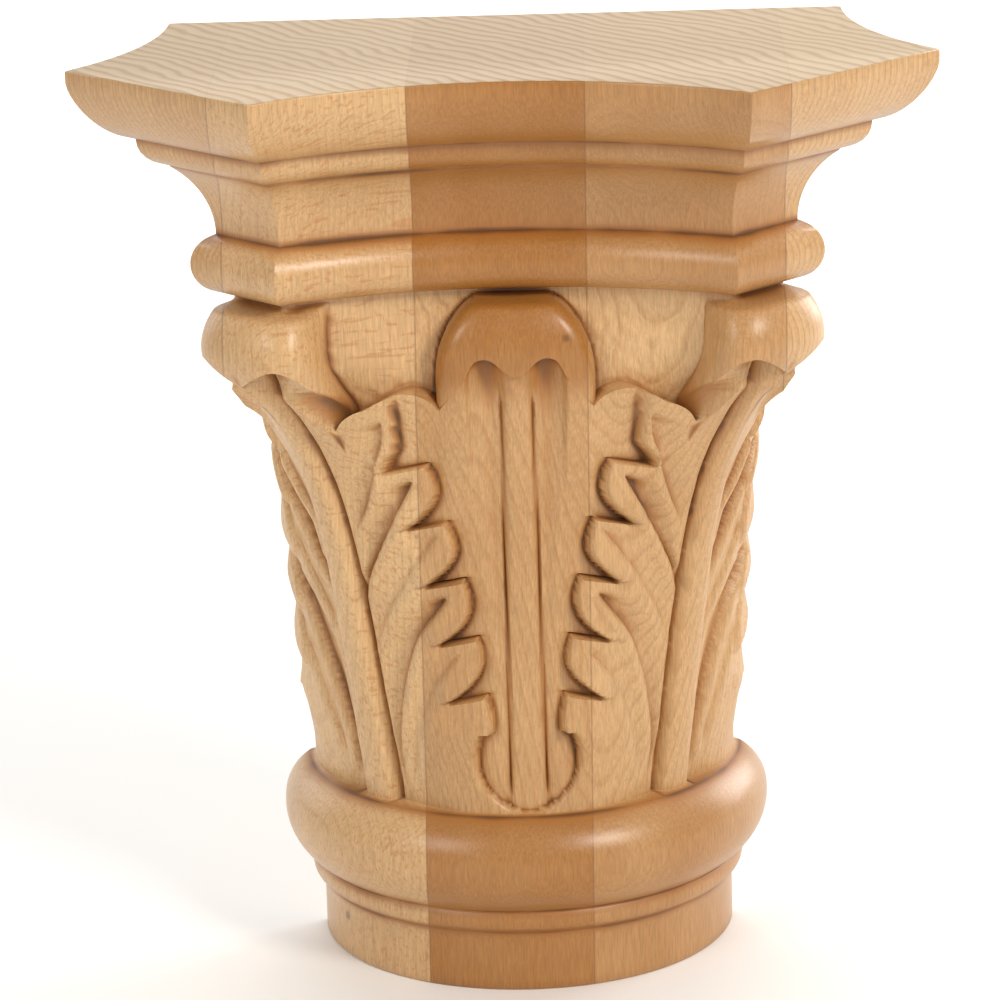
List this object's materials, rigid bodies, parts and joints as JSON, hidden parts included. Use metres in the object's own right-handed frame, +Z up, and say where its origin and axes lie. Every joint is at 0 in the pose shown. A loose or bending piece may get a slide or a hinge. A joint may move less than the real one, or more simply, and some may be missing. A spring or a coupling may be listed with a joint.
{
  "type": "half-round acanthus capital",
  "caption": "Half-round capital in carved wood, a moulded slab over a leaf-wrapped bell and a turned base, planted flat against a wall or pilaster",
  "frame": {"origin": "the middle of the bounding box on the underside, so the column's axis runs up the middle line of the sawn back", "axes": "+Z up, +Y out of the flat sawn back and into the wall, so the carved front faces -Y, and X runs across the front"},
  "size_m": [0.24, 0.12, 0.276],
  "materials": {
    "wood": "pale hardwood, carved and turned, clear satin finish"
  },
  "bodies": {
    "root": {"capital": "wood"}
  },
  "joints": []
}
